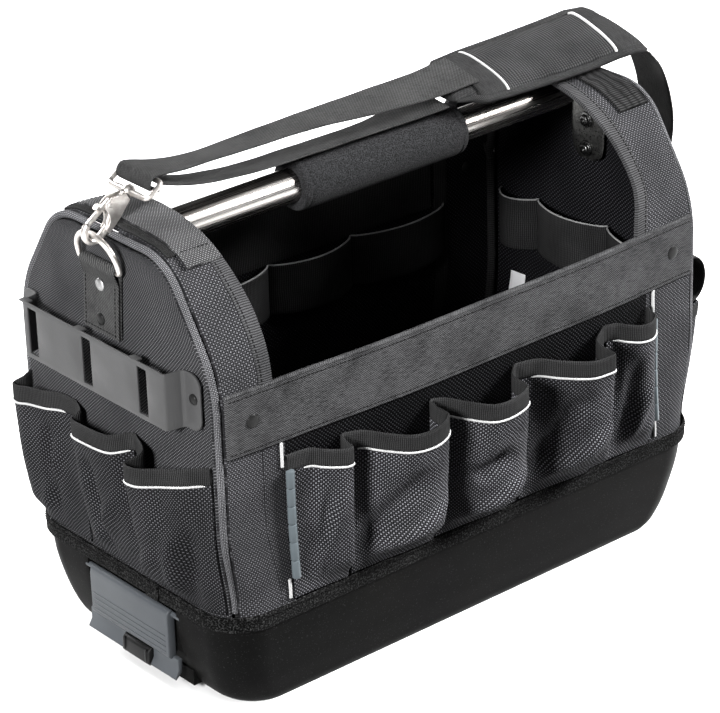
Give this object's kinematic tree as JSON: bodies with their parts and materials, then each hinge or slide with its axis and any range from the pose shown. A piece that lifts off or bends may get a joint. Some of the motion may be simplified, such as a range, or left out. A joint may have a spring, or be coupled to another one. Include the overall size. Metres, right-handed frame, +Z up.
{
  "type": "tool bag",
  "caption": "Open tool bag with a moulded tray, cloth walls, bellows pockets, hooded ends, a steel tube handle with a soft grip and a padded shoulder strap.",
  "frame": {"origin": "middle of the tray's flat underside", "axes": "+X along the bag towards the end without the sheet-metal holder, -Y towards the front pockets, +Z up"},
  "size_m": [0.5448, 0.2736, 0.3711],
  "materials": {
    "tray": "satin moulded",
    "latch": "satin moulded",
    "trigger": "satin moulded",
    "cloth": "basket weave",
    "webbing": "ribbed webbing",
    "band": "plain weave",
    "strip": "satin",
    "clip": "matte powder coat",
    "chrome": "polished",
    "steel": "dark zinc",
    "grip": "matte foam"
  },
  "bodies": {
    "bag": {"base_tray": "tray", "end_panel_left": "cloth", "end_panel_right": "cloth", "end_piping_left": "cloth", "end_piping_right": "cloth", "hood_left": "cloth", "hood_right": "cloth", "front_panel": "cloth", "back_panel": "cloth", "front_pocket_1": "cloth", "front_pocket_2": "cloth", "front_pocket_3": "cloth", "front_pocket_4": "cloth", "front_pocket_5": "cloth", "left_pocket_1": "cloth", "left_pocket_2": "cloth", "left_pocket_3": "cloth", "right_pocket": "cloth", "shoulder_pad": "cloth", "hood_binding_left": "webbing", "hood_binding_right": "webbing", "inner_band": "webbing", "bottom_binding": "webbing", "front_pocket_hem": "webbing", "left_pocket_hem": "webbing", "right_loop": "webbing", "inner_back_loops": "webbing", "inner_right_loops": "webbing", "ring_tab_left": "webbing", "ring_tab_right": "webbing", "strap_upper": "webbing", "strap_lower": "webbing", "strap_right": "webbing", "hood_flap_left": "band", "hood_flap_right": "band", "front_band": "band", "back_band": "band", "edge_strip_left": "strip", "edge_strip_right": "strip", "clip_plate": "clip", "handle_tube": "chrome", "d_ring_left": "chrome", "d_ring_right": "chrome", "hook_body_left": "chrome", "hook_body_right": "chrome", "hook_ring_left": "chrome", "hook_ring_right": "chrome", "tube_bolt_upper_left": "steel", "tube_bolt_upper_right": "steel", "tube_bolt_lower_left": "steel", "tube_bolt_lower_right": "steel", "handle_grip": "grip"},
    "latch_left": {"latch_plate_left": "latch", "latch_trigger_left": "trigger"},
    "latch_right": {"latch_plate_right": "latch", "latch_trigger_right": "trigger"},
    "gate_left": {"hook_gate_left": "chrome"},
    "gate_right": {"hook_gate_right": "chrome"}
  },
  "joints": [
    {"name": "latch_left_swing", "type": "hinge", "parent": "bag", "child": "latch_left", "pos_m": [-0.219, 0, 0.0605], "axis": [0, 1, 0], "range_deg": [0, 22], "stiffness_Nm_per_rad": 0.2},
    {"name": "latch_right_swing", "type": "hinge", "parent": "bag", "child": "latch_right", "pos_m": [0.219, 0, 0.0605], "axis": [0, -1, 0], "range_deg": [0, 22], "stiffness_Nm_per_rad": 0.2},
    {"name": "gate_left_swing", "type": "hinge", "parent": "bag", "child": "gate_left", "pos_m": [-0.21929, 0, 0.35547], "axis": [0, -1, 0], "range_deg": [0, 20], "stiffness_Nm_per_rad": 0.05},
    {"name": "gate_right_swing", "type": "hinge", "parent": "bag", "child": "gate_right", "pos_m": [0.25219, 0, 0.27322], "axis": [0, -1, 0], "range_deg": [0, 20], "stiffness_Nm_per_rad": 0.05}
  ]
}
